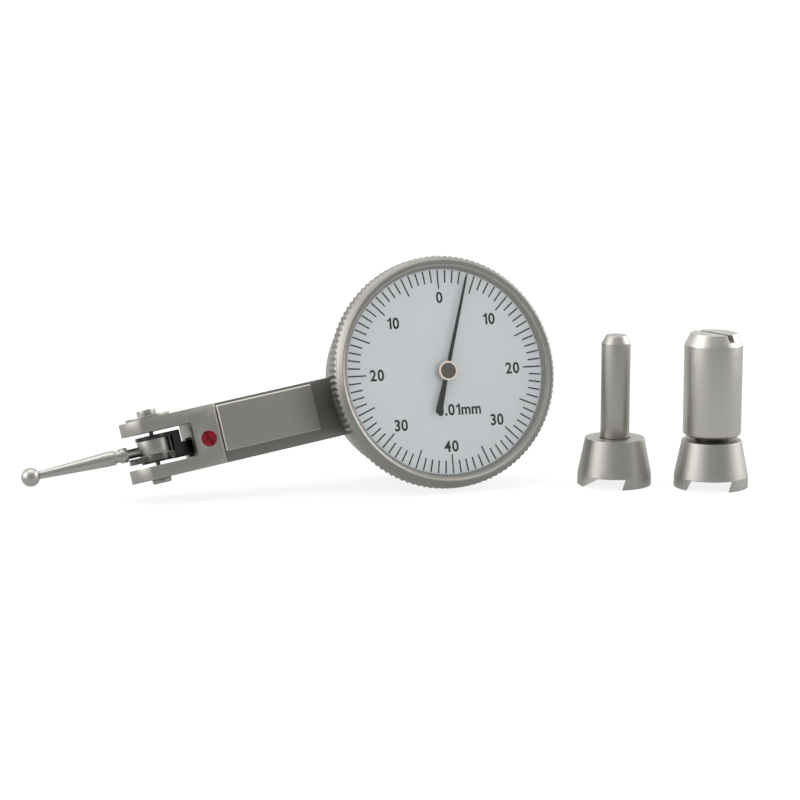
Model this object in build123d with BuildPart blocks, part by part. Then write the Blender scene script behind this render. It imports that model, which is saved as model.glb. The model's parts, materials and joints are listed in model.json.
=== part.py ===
from build123d import *
from math import atan2, cos, degrees, pi, radians, sin, sqrt, tan
import os

# Lever-type dial test indicator, 0.01 mm, with its two dovetail stems standing beside it.
# Millimetres, +Z up. The instrument stands on its bezel rim and case edge, dial to -Y,
# with the origin on the floor below the middle of the whole set.
#
# The instrument is drawn in its own frame and then stood up: x runs along the arm towards
# the dial, y runs up the dial along the stylus pivot, and z points out of the dial, with
# zero at the dial's centre on the front face of the bezel.

# Bezel
bezel_radius = 16.0
bezel_depth = 3.8
bezel_lip_width = 0.45
bezel_ridge_width = 0.1
bezel_bevel_width = 0.15
bezel_edge_depth = 0.4
bezel_cone_width = 0.4
knurl_count = 120
knurl_height = 0.25
knurl_root_depth = 0.95
knurl_crest_depth = 1.25
bezel_back_chamfer = 0.3
bezel_flange_depth = 2.8
dial_seat_width = 0.85

# Crystal, ring and dial under it
crystal_depth = 0.2
crystal_thick = 0.4
crystal_rise_height = 0.5
dial_room_depth = 0.9
dial_thick = 0.3
dial_hole_radius = 1.5
dial_ring_width = 0.65
dial_ring_top_width = 0.25
dial_divisions = 80

# Round case
case_step_width = 2.7
case_wall_thick = 1.2
case_chamfer = 0.4
shoulder_depth = 3.9
shoulder_width = 0.5
spigot_depth = 2.4
spigot_wall_width = 1.6
plate_seat_width = 0.6
ring_groove_cut_depth = 0.4
ring_groove_depth = 2.5
ring_thick = 0.25
ring_width = 0.9
ring_gap_width = 6.0

# Arm, fork and dovetail
arm_reach = 40.4
arm_width = 8.2
arm_depth = 7.0
arm_offset = -1.2
fork_front_depth = 5.0
fork_round_radius = 4.0
fork_slot_width = 4.6
fork_slot_length = 4.8
shelf_start = 8.56
shelf_drop = 1.2
relief_width = 0.3
relief_drop = 0.4
arm_edge_chamfer = 0.2
dovetail_width = 6.4
dovetail_length = 13.6
dovetail_offset = 0.57
dovetail_angle = 15.0
channel_height = 2.6
channel_depth = 3.6

# Pivot screws and the sealed screw
pivot_screw_radius = 0.9
pivot_head_radius = 1.3
upper_head_height = 0.8
lower_head_height = 0.65
head_slot_width = 0.35
head_slot_depth = 0.3
pivot_nib_radius = 0.3
pivot_nib_length = 0.25
washer_radius = 3.0
washer_height = 0.4
sealed_radius = 1.05
sealed_length = 1.5
sealed_slot_angle = 20.0
upper_slot_angle = 30.0
sealed_reach = 6.75
sealed_offset = -0.38

# Lever between the ears
lever_plate = 0.8
lever_plate_front = 3.7
lever_plate_width = 3.0
lever_bridge = 0.5
lever_disc_radius = 2.3
lever_wall = 1.1
lever_wall_width = 3.6
lever_tail_height = 2.0
lever_tail_thick = 1.6
lever_tail_drop = 0.9
axle_radius = 0.9
lower_disc_radius = 2.1
lower_disc_height = 0.25

# Stylus on its swivel drum
drum_radius = 2.2
drum_height = 2.0
stylus_turn_travel = 0.8
stylus_neck_radius = 0.65
stylus_collar_radius = 1.0
stylus_collar_start = 3.9
stylus_collar_length = 1.0
stylus_groove_length = 0.7
stylus_groove_radius = 0.8
stylus_head_length = 1.2
stylus_tip_radius = 0.52
stylus_ball_radius = 1.25

# Gear train from lever to pointer
sector_teeth = 240
sector_shown = 7
pinion_teeth = 16
crown_teeth = 108
centre_teeth = 12
crown_pitch_radius = 4.3
tooth_addendum_share = 0.5
tooth_dedendum_share = 0.6
tooth_tip_share = 0.15
tooth_root_share = 0.24
sector_thick = 0.6
sector_rim_width = 2.2
pinion_height = 1.4
crown_web_thick = 0.4
crown_rim_width = 0.6
crown_rim_height = 0.65
crown_tooth_height = 0.2
crown_hub_radius = 0.9
crown_shaft_radius = 0.35
sector_screw_radius = 0.3
sector_screw_spacing = 1.6
sector_screw_grip = 0.5

# Pointer
pointer_end_width = 0.8
pointer_tip_width = 0.3
pointer_root_width = 0.57
pointer_tail_length = 6.1
pointer_tail_root_width = 0.5
pointer_tail_width = 0.96
pointer_thick = 0.1
pointer_reading = 3.74
hub_radius = 1.35
hub_height = 0.45
hub_room_height = 0.1
hub_recess_depth = 0.12
cap_radius = 1.05
arbor_radius = 0.25
arbor_length = 6.0
centre_height = 0.8

# Movement plate, bridge, pillars, jewels and hairspring
plate_thick = 0.8
plate_seat_depth = 3.5
post_radius = 1.3
post_inset_width = 0.9
post_count = 3
screw_radius = 0.5
screw_head_radius = 0.9
screw_head_height = 0.35
screw_length = 2.2
jewel_radius = 0.6
jewel_thick = 0.5
bridge_thick = 0.7
bridge_width = 1.6
bridge_low = 0.3
bridge_boss_wall = 0.3
bridge_drop = 2.7
bridge_reach = 6.5
bridge_foot = 1.5
pillar_thick = 0.8
pillar_width = 3.0
pillar_upper = 2.2
pillar_lower = 4.4
pillar_tail_length = 1.3
spring_height = 0.2
spring_strip_width = 0.08
spring_inner_radius = 0.8
spring_pitch_width = 0.4
spring_turns = 4
collet_radius = 0.6
collet_height = 0.4
stud_radius = 0.3
stud_height = 0.55

# Dovetail feet and stems
foot_height = 6.5
foot_band = 1.55
foot_radius = 5.1
foot_top_radius = 4.1
groove_depth = 1.45
groove_play = 0.1
pin_radius = 2.0
pin_length = 14.3
pin_sink = 1.0
pin_neck_depth = 0.2
pin_chamfer = 0.6
pin_chamfer_length = 1.1
barrel_radius = 4.0
barrel_length = 14.25
barrel_gap_height = 0.6
barrel_chamfer = 0.85
barrel_chamfer_length = 1.6
barrel_foot_chamfer = 0.4
barrel_slot_width = 0.95
barrel_slot_depth = 1.0
barrel_slot_angle = -41.0
neck_radius = 2.2
neck_sink = 1.6
stud_screw_radius = 1.2
stud_screw_lift = 0.3
stud_spigot_length = 3.0
sink_room = 0.5
small_stem_place = (22.86, -4.52)
large_stem_place = (34.8, -10.4)
small_stem_angle = -46.0
large_stem_angle = -32.0

# Clearances
running_gap = 0.05
fit_gap = 0.02
mesh_gap = 0.02
crown_room_depth = 0.2
overrun_length = 1.0

# Stance on the floor
arm_rise = 9.15

# Places worked out from the values above, from the bezel's rim inwards
knurl_root_radius = bezel_radius - knurl_height
bezel_edge_radius = knurl_root_radius - bezel_cone_width
bezel_face_radius = bezel_edge_radius - bezel_bevel_width
bezel_bore_radius = bezel_face_radius - bezel_lip_width
bezel_relief_radius = bezel_bore_radius - dial_seat_width
dial_window_radius = bezel_bore_radius - dial_ring_width
dial_ring_top_radius = bezel_bore_radius - dial_ring_top_width
case_radius = bezel_radius - case_step_width
spigot_radius = case_radius - shoulder_width
ring_groove_radius = spigot_radius - ring_groove_cut_depth
spigot_bore_radius = spigot_radius - spigot_wall_width
cavity_radius = spigot_bore_radius - plate_seat_width
post_circle_radius = cavity_radius - post_inset_width
pointer_length = dial_window_radius - pointer_end_width

# Depths behind the bezel's front, from the crystal down to the wheel behind the pivot
crystal_back = crystal_depth + crystal_thick
dial_depth = crystal_back + dial_room_depth
dial_back = dial_depth + dial_thick
hub_front = crystal_back - crystal_rise_height + hub_room_height
pointer_back = hub_front + hub_height + pointer_thick
pointer_lift = dial_depth - pointer_back
plate_front = plate_seat_depth - plate_thick
pivot_depth = fork_front_depth + arm_depth / 2
case_depth = pivot_depth + crown_pitch_radius + crown_rim_width / 2 + crown_room_depth + case_wall_thick
bezel_crest_back = bezel_depth - bezel_back_chamfer
case_crest_back = case_depth - case_chamfer
lean = degrees(atan2(bezel_radius - case_radius, case_crest_back - bezel_crest_back))
stand_height = bezel_radius * cos(radians(lean)) + bezel_crest_back * sin(radians(lean))
arm_top = arm_offset + arm_width / 2
arm_bottom = arm_offset - arm_width / 2
slot_top = arm_offset + fork_slot_width / 2
slot_bottom = arm_offset - fork_slot_width / 2
module_size = 2 * arm_reach / (sector_teeth + pinion_teeth)
sector_radius = module_size * sector_teeth / 2
pinion_radius = module_size * pinion_teeth / 2
gear_ratio = sector_teeth / pinion_teeth * crown_teeth / centre_teeth
stylus_reach = gear_ratio * stylus_turn_travel / (2 * pi)
centre_radius = crown_pitch_radius * centre_teeth / crown_teeth
centre_tip_radius = centre_radius + mesh_gap
spring_outer_radius = spring_inner_radius + spring_pitch_width * spring_turns + spring_strip_width / 2
stud_place = (spring_outer_radius + stud_radius, 0)

# The axis of the stylus lies on the middle of the arm. The lever is stacked under it.
drum_bottom = arm_offset - stylus_neck_radius - 2 * running_gap
drum_top = drum_bottom + drum_height
plate_top = drum_bottom - running_gap
plate_bottom = plate_top - lever_plate
bridge_bottom = drum_top + running_gap
bridge_top = bridge_bottom + lever_bridge
lower_disc_bottom = plate_bottom - lower_disc_height
wall_start = drum_radius + 2 * running_gap
wall_end = wall_start + lever_wall
tail_middle = arm_offset - lever_tail_drop
tail_top = tail_middle + lever_tail_height / 2
tail_bottom = tail_middle - lever_tail_height / 2

# Planes of the instrument: seen from the dial's top, centred on the pivot, and the same
# view centred under the dial, where the gear shaft stands.
pivot_plane = Plane(origin=(-arm_reach, 0, -pivot_depth), x_dir=(1, 0, 0), z_dir=(0, 1, 0))
shaft_plane = Plane(origin=(0, 0, -pivot_depth), x_dir=(1, 0, 0), z_dir=(0, 1, 0))
stylus_plane = Plane(origin=(-arm_reach, arm_offset, -pivot_depth), x_dir=(0, 1, 0), z_dir=(-1, 0, 0))

# The instrument stands with its dial to -Y, leaning back on the case, its arm rising.
stance = Location((0, 0, stand_height), (90 - lean, 0, 0)) * Location((0, 0, 0), (0, 0, arm_rise))
finished = []


def finish(piece, name, place=stance):
    """Stand a finished piece in its place and keep it under its own name."""
    solid = place * piece.part
    solid.label = name
    finished.append(solid)


def stub_teeth(numbers, count, tip, root):
    """Corner points of straight-sided stub teeth, at their numbers round a wheel of count teeth."""
    points = []
    for number in numbers:
        middle = 2 * pi * number / count
        for radius, share in (
            (root, -tooth_root_share),
            (tip, -tooth_tip_share),
            (tip, tooth_tip_share),
            (root, tooth_root_share),
        ):
            angle = middle + 2 * pi * share / count
            points.append((radius * cos(angle), radius * sin(angle)))
    return points


# Body frame
# The round case, the arm, the fork and the dovetail are one milled piece.
fork_flat = sqrt(fork_round_radius**2 - (arm_depth / 2) ** 2)
arm_length = arm_reach - cavity_radius / 2
dovetail_start = shelf_start + relief_width / 2
dovetail_base = dovetail_width - 2 * shelf_drop * tan(radians(dovetail_angle))

with BuildPart() as body_frame:
    with BuildSketch(Plane.XY.offset(-case_depth)):
        Circle(case_radius)
    extrude(amount=case_depth - shoulder_depth)
    chamfer(body_frame.edges().group_by(Axis.Z)[0], case_chamfer)
    with BuildSketch(Plane.XY.offset(-shoulder_depth)):
        Circle(spigot_radius)
    extrude(amount=shoulder_depth - spigot_depth)
    with BuildSketch(pivot_plane.offset(arm_bottom)):
        with BuildLine():
            ThreePointArc((-fork_flat, arm_depth / 2), (-fork_round_radius, 0), (-fork_flat, -arm_depth / 2))
            Polyline(
                (-fork_flat, -arm_depth / 2),
                (shelf_start, -arm_depth / 2),
                (shelf_start, shelf_drop - arm_depth / 2),
                (arm_length, shelf_drop - arm_depth / 2),
                (arm_length, arm_depth / 2),
                (-fork_flat, arm_depth / 2),
            )
        make_face()
    extrude(amount=arm_width)
    with BuildSketch(Plane.YZ.offset(dovetail_start - arm_reach)):
        with Locations((arm_offset + dovetail_offset, -fork_front_depth - shelf_drop)):
            Polygon(
                (-dovetail_base / 2, 0),
                (-dovetail_width / 2, shelf_drop - arm_edge_chamfer),
                (arm_edge_chamfer - dovetail_width / 2, shelf_drop),
                (dovetail_width / 2 - arm_edge_chamfer, shelf_drop),
                (dovetail_width / 2, shelf_drop - arm_edge_chamfer),
                (dovetail_base / 2, 0),
                align=None,
            )
    extrude(amount=dovetail_length)
    with BuildSketch(pivot_plane.offset(arm_bottom)):
        with Locations((shelf_start, shelf_drop - arm_depth / 2)):
            Rectangle(relief_width, 2 * relief_drop)
    extrude(amount=arm_width, mode=Mode.SUBTRACT)
    with BuildSketch(pivot_plane.offset(arm_bottom)):
        with Locations((0, -arm_depth / 2)):
            Polygon(
                (shelf_start - arm_edge_chamfer, 0),
                (shelf_start, arm_edge_chamfer),
                (dovetail_start, arm_edge_chamfer),
                (dovetail_start + arm_edge_chamfer, 0),
                align=None,
            )
    extrude(amount=arm_width, mode=Mode.SUBTRACT)
    with BuildSketch(pivot_plane.offset(slot_bottom)):
        with Locations((fork_slot_length, 0)):
            Rectangle(2 * arm_depth, 2 * arm_depth, align=(Align.MAX, Align.CENTER))
    extrude(amount=fork_slot_width, mode=Mode.SUBTRACT)
    with BuildSketch(pivot_plane.offset(tail_middle - channel_height / 2)):
        with Locations((fork_slot_length / 2, 0)):
            Rectangle(arm_length, channel_depth, align=(Align.MIN, Align.CENTER))
    extrude(amount=channel_height, mode=Mode.SUBTRACT)
    with BuildSketch(pivot_plane.offset(arm_bottom - overrun_length)):
        Circle(pivot_screw_radius + fit_gap)
    extrude(amount=arm_width + 2 * overrun_length, mode=Mode.SUBTRACT)
    with BuildSketch(Plane.XY.offset(-fork_front_depth)):
        with Locations((sealed_reach - arm_reach, arm_offset + sealed_offset)):
            Circle(sealed_radius + fit_gap)
    extrude(amount=-sealed_length, mode=Mode.SUBTRACT)
    with BuildSketch(Plane.XY.offset(case_wall_thick - case_depth)):
        Circle(cavity_radius)
    extrude(amount=case_depth - case_wall_thick - plate_seat_depth, mode=Mode.SUBTRACT)
    with BuildSketch(Plane.XY.offset(-plate_seat_depth)):
        Circle(spigot_bore_radius)
    extrude(amount=plate_seat_depth, mode=Mode.SUBTRACT)
    with BuildSketch(Plane.XY.offset(case_wall_thick - case_depth)):
        with PolarLocations(post_circle_radius, post_count):
            Circle(post_radius)
    extrude(amount=case_depth - case_wall_thick - plate_seat_depth)
    with BuildSketch(Plane.XY.offset(-plate_seat_depth)):
        with PolarLocations(post_circle_radius, post_count):
            Circle(screw_radius + fit_gap)
    extrude(amount=-screw_length, mode=Mode.SUBTRACT)
    with BuildSketch(Plane.XY.offset(-ring_groove_depth)):
        Circle(spigot_radius + overrun_length)
        Circle(ring_groove_radius, mode=Mode.SUBTRACT)
    extrude(amount=-ring_thick - fit_gap, mode=Mode.SUBTRACT)
finish(body_frame, "body_frame")

# Bezel
# Straight V flutes run round the rim. Their crests are cut back to a cone at the front and
# broken at the back. The bore is open at the front, and the flange behind it turns on the
# spigot of the case.
flute_points = []
for flute in range(knurl_count):
    root_angle = 2 * pi * flute / knurl_count
    crest_angle = root_angle + pi / knurl_count
    flute_points.append((knurl_root_radius * cos(root_angle), knurl_root_radius * sin(root_angle)))
    flute_points.append((bezel_radius * cos(crest_angle), bezel_radius * sin(crest_angle)))
knurl_depth = bezel_depth - knurl_root_depth
front_spread = knurl_depth * knurl_height / (knurl_crest_depth - knurl_root_depth)
with BuildPart() as bezel:
    with BuildSketch(Plane.XY.offset(-bezel_depth)):
        Polygon(*flute_points, align=None)
    extrude(amount=knurl_depth)
    with BuildSketch(Plane.XY.offset(-knurl_root_depth)):
        RegularPolygon(knurl_root_radius - fit_gap, knurl_count, major_radius=False)
    with BuildSketch(Plane.XY.offset(-bezel_depth)):
        RegularPolygon(knurl_root_radius - fit_gap + front_spread, knurl_count, major_radius=False)
    loft(ruled=True, mode=Mode.INTERSECT)
    with BuildSketch(Plane.XY.offset(-bezel_depth)):
        RegularPolygon(bezel_radius - bezel_back_chamfer, knurl_count, major_radius=False)
    with BuildSketch(Plane.XY.offset(-knurl_root_depth)):
        RegularPolygon(bezel_radius - bezel_back_chamfer + knurl_depth, knurl_count, major_radius=False)
    loft(ruled=True, mode=Mode.INTERSECT)
    with BuildSketch(Plane.XZ):
        with BuildLine():
            Polyline(
                (0, 0),
                (bezel_face_radius, 0),
                (bezel_edge_radius, -bezel_edge_depth),
                (knurl_root_radius - 2 * fit_gap, -knurl_root_depth),
                (0, -knurl_root_depth),
                close=True,
            )
        make_face()
    revolve(axis=Axis.Z)
    with BuildSketch(Plane.XZ):
        with BuildLine():
            Polyline(
                (0, overrun_length),
                (bezel_face_radius - bezel_ridge_width, overrun_length),
                (bezel_face_radius - bezel_ridge_width, 0),
                (bezel_bore_radius, -crystal_depth),
                (bezel_bore_radius, -dial_back),
                (bezel_relief_radius, -dial_back),
                (bezel_relief_radius, -bezel_flange_depth),
                (spigot_radius + running_gap, -bezel_flange_depth),
                (spigot_radius + running_gap, -bezel_depth - overrun_length),
                (0, -bezel_depth - overrun_length),
                close=True,
            )
        make_face()
    revolve(axis=Axis.Z, mode=Mode.SUBTRACT)
finish(bezel, "bezel")

# The crystal is domed, and its edge sits in the bezel's bore.
crystal_radius = bezel_bore_radius - fit_gap
crystal_peak = crystal_rise_height - crystal_depth
with BuildPart() as crystal:
    with BuildSketch(Plane.XZ):
        with BuildLine():
            Bezier((0, crystal_peak), (crystal_radius / 2, crystal_peak), (crystal_radius, -crystal_depth))
            Line((crystal_radius, -crystal_depth), (crystal_radius, -crystal_back))
            Bezier(
                (crystal_radius, -crystal_back),
                (crystal_radius / 2, crystal_peak - crystal_thick),
                (0, crystal_peak - crystal_thick),
            )
            Line((0, crystal_peak - crystal_thick), (0, crystal_peak))
        make_face()
    revolve(axis=Axis.Z)
finish(crystal, "crystal")

# The ring under the crystal slopes down to the edge of the dial.
with BuildPart() as dial_ring:
    with BuildSketch(Plane.XZ):
        with BuildLine():
            Polyline(
                (dial_window_radius, -dial_depth),
                (bezel_bore_radius - fit_gap, -dial_depth),
                (bezel_bore_radius - fit_gap, -crystal_back),
                (dial_ring_top_radius, -crystal_back),
                close=True,
            )
        make_face()
    revolve(axis=Axis.Z)
finish(dial_ring, "dial_ring")

with BuildPart() as dial_plate:
    with BuildSketch(Plane.XY.offset(-dial_depth)):
        Circle(bezel_bore_radius - fit_gap)
        Circle(dial_hole_radius, mode=Mode.SUBTRACT)
    extrude(amount=-dial_thick)
finish(dial_plate, "dial_plate")

# The snap ring in the groove of the spigot holds the bezel and gives it its drag.
with BuildPart() as bezel_snap_ring:
    with BuildSketch(Plane.XY.offset(-ring_groove_depth)):
        Circle(ring_groove_radius + fit_gap + ring_width)
        Circle(ring_groove_radius + fit_gap, mode=Mode.SUBTRACT)
        with Locations((0, ring_groove_radius)):
            Rectangle(ring_gap_width, 2 * ring_width + overrun_length, mode=Mode.SUBTRACT)
    extrude(amount=-ring_thick)
finish(bezel_snap_ring, "bezel_snap_ring")

# Movement plate with its screws
with BuildPart() as movement_plate:
    with BuildSketch(Plane.XY.offset(-plate_seat_depth)):
        Circle(spigot_bore_radius - fit_gap)
        Circle(jewel_radius + fit_gap, mode=Mode.SUBTRACT)
        with PolarLocations(post_circle_radius, post_count):
            Circle(screw_radius + fit_gap, mode=Mode.SUBTRACT)
        with Locations(stud_place):
            Circle(stud_radius + fit_gap, mode=Mode.SUBTRACT)
    extrude(amount=plate_thick)
finish(movement_plate, "movement_plate")

with BuildPart() as movement_screws:
    with BuildSketch(Plane.XY.offset(-plate_seat_depth - screw_length + running_gap)):
        with PolarLocations(post_circle_radius, post_count):
            Circle(screw_radius)
    extrude(amount=plate_thick + screw_length - running_gap)
    with BuildSketch(Plane.XY.offset(-plate_front)):
        with PolarLocations(post_circle_radius, post_count):
            Circle(screw_head_radius)
    extrude(amount=screw_head_height)
    with BuildSketch(Plane.XY.offset(screw_head_height - plate_front)):
        with PolarLocations(post_circle_radius, post_count):
            Rectangle(2 * screw_head_radius, head_slot_width / 2)
    extrude(amount=-screw_head_height / 2, mode=Mode.SUBTRACT)
finish(movement_screws, "movement_screws")

# The bridge under the movement plate carries the rear end of the pointer arbor.
bridge_front = plate_seat_depth + bridge_drop
with BuildPart() as arbor_bridge:
    with BuildSketch(Plane.XY.offset(-bridge_front)):
        Circle(jewel_radius + bridge_boss_wall)
        with Locations((0, -bridge_low)):
            Rectangle(bridge_reach, bridge_width, align=(Align.MIN, Align.MIN))
    extrude(amount=-bridge_thick)
    with BuildSketch(Plane.XY.offset(-bridge_front)):
        with Locations((bridge_reach, -bridge_low)):
            Rectangle(bridge_foot, bridge_width, align=(Align.MAX, Align.MIN))
    extrude(amount=bridge_drop)
    with BuildSketch(Plane.XY.offset(-bridge_front - bridge_thick)):
        Circle(jewel_radius + fit_gap)
    extrude(amount=bridge_thick, mode=Mode.SUBTRACT)
finish(arbor_bridge, "arbor_bridge")

# A jewel in the movement plate and one in the bridge hold the arbor.
with BuildPart() as arbor_jewels:
    for jewel_top in (plate_front, bridge_front):
        with BuildSketch(Plane.XY.offset(-jewel_top)):
            Circle(jewel_radius)
            Circle(arbor_radius + fit_gap, mode=Mode.SUBTRACT)
        extrude(amount=-jewel_thick)
finish(arbor_jewels, "arbor_jewels")

# Two pillars under the movement plate stand above and below the gears, with a jewel in each.
pillar_length = pivot_depth + pillar_tail_length - plate_seat_depth
with BuildPart() as gear_pillars:
    with BuildSketch(Plane.YZ.offset(-pillar_width / 2)):
        with Locations((pillar_upper, -plate_seat_depth)):
            Rectangle(pillar_thick, pillar_length, align=(Align.MIN, Align.MAX))
        with Locations((-pillar_lower, -plate_seat_depth)):
            Rectangle(pillar_thick, pillar_length, align=(Align.MAX, Align.MAX))
    extrude(amount=pillar_width)
    with BuildSketch(shaft_plane.offset(-pillar_lower - pillar_thick - overrun_length)):
        Circle(jewel_radius + fit_gap)
    extrude(amount=pillar_lower + pillar_upper + 2 * (pillar_thick + overrun_length), mode=Mode.SUBTRACT)
finish(gear_pillars, "gear_pillars")

with BuildPart() as shaft_jewels:
    for jewel_place in (pillar_upper, -pillar_lower - pillar_thick):
        with BuildSketch(shaft_plane.offset(jewel_place)):
            Circle(jewel_radius)
            Circle(crown_shaft_radius + fit_gap, mode=Mode.SUBTRACT)
        extrude(amount=pillar_thick)
finish(shaft_jewels, "shaft_jewels")

# Hairspring
# Half turns about two centres make the coil. Its outer end meets the stud in the plate.
spring_plane = Plane.XY.offset(-plate_front + stud_height - spring_height)
with BuildPart() as hairspring:
    with BuildSketch(spring_plane):
        with BuildLine() as coil:
            for half in range(2 * spring_turns):
                side = half % 2
                shift = spring_pitch_width / 4
                coil_radius = spring_inner_radius + (2 * half + 1) * shift
                CenterArc((2 * side * shift - shift, 0), coil_radius, 180 * side, 180)
        trace(line_width=spring_strip_width)
    extrude(amount=spring_height)
finish(hairspring, "hairspring")

with BuildPart() as hairspring_stud:
    with BuildSketch(Plane.XY.offset(-plate_seat_depth)):
        with Locations(stud_place):
            Circle(stud_radius)
    extrude(amount=plate_thick + stud_height)
finish(hairspring_stud, "hairspring_stud")

# Pointer, its hub and cap, the arbor with the centre pinion, and the collet
pointer_angle = -arm_rise - 360 * pointer_reading / dial_divisions
pointer_plane = Plane.XY.offset(-pointer_back).rotated((0, 0, pointer_angle))
with BuildPart() as pointer:
    with BuildSketch(pointer_plane):
        Polygon(
            (-pointer_root_width / 2, 0),
            (-pointer_tip_width / 2, pointer_length),
            (pointer_tip_width / 2, pointer_length),
            (pointer_root_width / 2, 0),
            align=None,
        )
        Polygon(
            (-pointer_tail_root_width / 2, 0),
            (-pointer_tail_width / 2, pointer_tail_width / 2 - pointer_tail_length),
            (pointer_tail_width / 2, pointer_tail_width / 2 - pointer_tail_length),
            (pointer_tail_root_width / 2, 0),
            align=None,
        )
        with Locations((0, pointer_tail_width / 2 - pointer_tail_length)):
            Circle(pointer_tail_width / 2)
        Circle(cap_radius)
        Circle(2 * arbor_radius + fit_gap, mode=Mode.SUBTRACT)
    extrude(amount=pointer_thick)
finish(pointer, "pointer")

with BuildPart() as pointer_hub:
    with BuildSketch(Plane.XY.offset(-pointer_back + pointer_thick)):
        Circle(hub_radius)
    extrude(amount=hub_height)
    with BuildSketch(Plane.XY.offset(-pointer_back - pointer_lift / 2)):
        Circle(2 * arbor_radius)
    extrude(amount=pointer_thick + pointer_lift / 2)
    with BuildSketch(Plane.XY.offset(-hub_front)):
        Circle(cap_radius + fit_gap)
    extrude(amount=-hub_recess_depth, mode=Mode.SUBTRACT)
    with BuildSketch(Plane.XY.offset(-dial_depth)):
        Circle(arbor_radius + fit_gap)
    extrude(amount=dial_depth, mode=Mode.SUBTRACT)
finish(pointer_hub, "pointer_hub")

with BuildPart() as pointer_cap:
    with BuildSketch(Plane.XY.offset(-hub_front - hub_recess_depth)):
        Circle(cap_radius)
    extrude(amount=hub_recess_depth - fit_gap)
finish(pointer_cap, "pointer_cap")

arbor_front = hub_front + hub_recess_depth
with BuildPart() as pointer_arbor:
    with BuildSketch(Plane.XY.offset(-arbor_front)):
        Circle(arbor_radius)
    extrude(amount=-arbor_length)
    with BuildSketch(Plane.XY.offset(crown_pitch_radius - pivot_depth - centre_height / 2)):
        Polygon(
            *stub_teeth(range(centre_teeth), centre_teeth, centre_tip_radius, centre_radius - mesh_gap),
            align=None,
        )
    extrude(amount=centre_height)
finish(pointer_arbor, "pointer_arbor")

with BuildPart() as hairspring_collet:
    with BuildSketch(spring_plane.offset(-spring_height / 2)):
        Circle(collet_radius)
        Circle(arbor_radius + fit_gap, mode=Mode.SUBTRACT)
    extrude(amount=collet_height)
finish(hairspring_collet, "hairspring_collet")

# Crown wheel and its shaft with the sector pinion
# The crown teeth face the centre pinion and stop just short of it.
crown_tip = -centre_tip_radius - mesh_gap
crown_bottom = crown_tip - crown_tooth_height - crown_rim_height
with BuildPart() as crown_wheel:
    with BuildSketch(shaft_plane.offset(crown_bottom)):
        Circle(crown_pitch_radius + crown_rim_width / 2)
        Circle(crown_shaft_radius + fit_gap, mode=Mode.SUBTRACT)
    extrude(amount=crown_web_thick)
    with BuildSketch(shaft_plane.offset(crown_bottom)):
        Circle(crown_pitch_radius + crown_rim_width / 2)
        Circle(crown_pitch_radius - crown_rim_width / 2, mode=Mode.SUBTRACT)
    extrude(amount=crown_rim_height)
    with BuildSketch(shaft_plane.offset(crown_bottom + crown_rim_height)):
        with PolarLocations(crown_pitch_radius, crown_teeth):
            Rectangle(crown_rim_width - 2 * running_gap, pi * crown_pitch_radius / crown_teeth)
    extrude(amount=crown_tooth_height)
finish(crown_wheel, "crown_wheel")

pinion_bottom = crown_bottom - pinion_height - running_gap
with BuildPart() as crown_shaft:
    with BuildSketch(shaft_plane.offset(-pillar_lower - pillar_thick)):
        Circle(crown_shaft_radius)
    extrude(amount=pillar_lower + pillar_upper + 2 * pillar_thick)
    with BuildSketch(shaft_plane.offset(pinion_bottom)):
        Polygon(
            *stub_teeth(
                [tooth + 0.5 for tooth in range(pinion_teeth)],
                pinion_teeth,
                pinion_radius + tooth_addendum_share * module_size,
                pinion_radius - tooth_dedendum_share * module_size,
            ),
            align=None,
        )
    extrude(amount=pinion_height)
finish(crown_shaft, "crown_shaft")

# Lever
# Plate, rear wall and upper bridge clasp the swivel drum. The tail runs through the arm.
sector_bottom = pinion_bottom + (pinion_height - sector_thick) / 2
sector_root = sector_radius - tooth_dedendum_share * module_size
tail_end = sector_root - sector_rim_width
with BuildPart() as lever:
    with BuildSketch(pivot_plane.offset(plate_bottom)):
        with Locations((-lever_plate_front, 0)):
            Rectangle(lever_plate_front + wall_end, lever_plate_width, align=(Align.MIN, Align.CENTER))
        Circle(lever_plate_front, mode=Mode.INTERSECT)
        Circle(lower_disc_radius)
        Circle(axle_radius + fit_gap, mode=Mode.SUBTRACT)
    extrude(amount=lever_plate)
    with BuildSketch(pivot_plane.offset(plate_bottom)):
        with Locations((wall_start, 0)):
            Rectangle(lever_wall, lever_wall_width, align=(Align.MIN, Align.CENTER))
    extrude(amount=bridge_top - plate_bottom)
    with BuildSketch(pivot_plane.offset(bridge_bottom)):
        Circle(lever_disc_radius)
        Rectangle(wall_end, lever_wall_width, align=(Align.MIN, Align.CENTER))
        Circle(axle_radius + fit_gap, mode=Mode.SUBTRACT)
    extrude(amount=lever_bridge)
    with BuildSketch(pivot_plane.offset(tail_bottom)):
        with Locations((wall_start, 0)):
            Rectangle(tail_end - wall_start, lever_tail_thick, align=(Align.MIN, Align.CENTER))
    extrude(amount=lever_tail_height)
    with BuildSketch(pivot_plane.offset(tail_bottom)):
        with Locations((tail_end, 0)):
            Rectangle(2 * sector_rim_width, lever_tail_thick, align=(Align.MAX, Align.CENTER))
    extrude(amount=sector_bottom + sector_thick + fit_gap - tail_bottom, mode=Mode.SUBTRACT)
    with BuildSketch(pivot_plane.offset(sector_bottom + sector_thick)):
        with Locations((tail_end - sector_rim_width, 0)):
            with GridLocations(sector_screw_spacing, 0, 2, 1):
                Circle(sector_screw_radius + fit_gap)
    extrude(amount=sector_screw_grip + fit_gap, mode=Mode.SUBTRACT)
finish(lever, "lever")

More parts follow.
